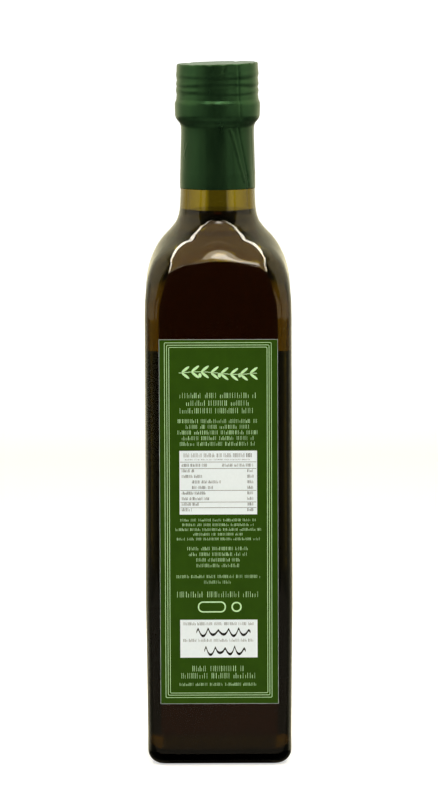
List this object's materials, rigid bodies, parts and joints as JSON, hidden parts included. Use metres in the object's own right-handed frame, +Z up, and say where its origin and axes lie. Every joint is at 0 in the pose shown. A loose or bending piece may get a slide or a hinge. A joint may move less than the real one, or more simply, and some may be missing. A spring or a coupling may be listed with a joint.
{
  "type": "olive oil bottle",
  "caption": "Tall square bottle of dark green glass filled with olive oil, with a domed shoulder, paper labels front and back and a green shrink capsule over its closed neck.",
  "frame": {"origin": "middle of the base, on the surface that the bottle stands on", "axes": "+Z up along the neck, -Y out of the labelled face, +X to the right of someone who reads the label"},
  "size_m": [0.058, 0.0592, 0.2763],
  "materials": {
    "bottle_glass": "dark olive-green bottle glass, smooth and glossy",
    "oil": "clear golden-green olive oil, near black through the dark glass",
    "capsule_film": "dark green heat-shrunk plastic film, satin to glossy, with soft creases",
    "label_paper": "printed paper label, green ground with pale green lines, satin"
  },
  "bodies": {
    "root": {"glass_bottle": "bottle_glass", "olive_oil": "oil", "capsule": "capsule_film", "label": "label_paper", "back_label": "label_paper"}
  },
  "joints": []
}
